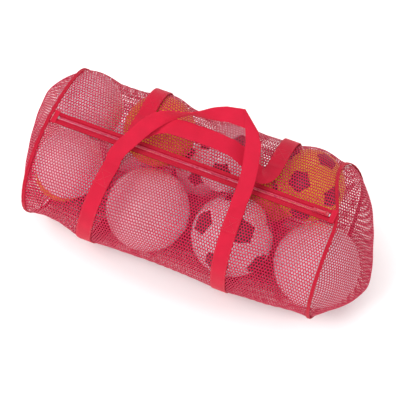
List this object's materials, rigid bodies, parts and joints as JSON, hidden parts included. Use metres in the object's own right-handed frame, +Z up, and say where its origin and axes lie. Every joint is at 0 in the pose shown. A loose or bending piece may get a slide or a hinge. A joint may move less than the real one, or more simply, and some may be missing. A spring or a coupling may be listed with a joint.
{
  "type": "mesh ball bag",
  "caption": "See-through net duffel with a top zipper, webbing girth straps and two carrying handles, filled with sports balls.",
  "frame": {"origin": "on the floor, under the middle of the part's length and width", "axes": "+X along the bag to the end where the slider rests, -Y the front, +Z up"},
  "size_m": [0.8609, 0.3989, 0.5026],
  "materials": {
    "net": "knitted polyester net, see-through",
    "webbing": "plain woven polypropylene webbing",
    "binding": "folded woven tape",
    "zip_tape": "woven zipper tape",
    "zip_teeth": "nylon coil, slightly glossy",
    "zip_stop": "satin",
    "zip_metal": "painted to match the tape",
    "thread": "bonded thread",
    "ball_white": "semi-gloss, some with dark pentagons",
    "ball_orange": "matte pebbled",
    "ball_yellow": "semi-gloss with dark pentagons"
  },
  "bodies": {
    "bag": {"body_net": "net", "end_net_left": "net", "end_net_right": "net", "end_binding_left": "binding", "end_binding_right": "binding", "zip_tape_front": "zip_tape", "zip_tape_rear": "zip_tape", "zip_strip_front": "zip_tape", "zip_strip_rear": "zip_tape", "zip_teeth_front": "zip_teeth", "zip_teeth_rear": "zip_teeth", "zip_stops": "zip_stop", "zip_end_tab_left": "webbing", "zip_end_tab_right": "webbing", "girth_strap_left": "webbing", "girth_strap_right": "webbing", "root_stitching_front_left": "thread", "root_stitching_front_right": "thread", "root_stitching_rear_left": "thread", "root_stitching_rear_right": "thread", "ball_front_1": "ball_white", "ball_front_2": "ball_white", "ball_front_3": "ball_white", "ball_front_4": "ball_white", "ball_top_1": "ball_white", "ball_top_2": "ball_orange", "ball_top_3": "ball_white", "ball_top_4": "ball_yellow", "ball_under_1": "ball_orange", "ball_under_2": "ball_white", "ball_under_3": "ball_white", "ball_under_4": "ball_orange"},
    "slider": {"zip_slider": "zip_metal"},
    "pull_tab": {"zip_pull_tab": "zip_metal"},
    "front_handle": {"handle_front": "webbing"},
    "rear_handle": {"handle_rear": "webbing"}
  },
  "joints": [
    {"name": "zip_slide", "type": "slide", "parent": "bag", "child": "slider", "axis": [1, 0, 0], "range_m": [-0.666, 0]},
    {"name": "pull_tab_hinge", "type": "hinge", "parent": "slider", "child": "pull_tab", "pos_m": [0.321, -0.022, 0.3245], "axis": [0, 1, 0], "range_deg": [0, 150]},
    {"name": "front_handle_hinge", "type": "hinge", "parent": "bag", "child": "front_handle", "pos_m": [0, -0.07975, 0.31439], "axis": [1, 0, 0], "range_deg": [-7, 138]},
    {"name": "rear_handle_hinge", "type": "hinge", "parent": "bag", "child": "rear_handle", "pos_m": [0, 0.0558, 0.31969], "axis": [1, 0, 0], "range_deg": [-107, 13]}
  ]
}
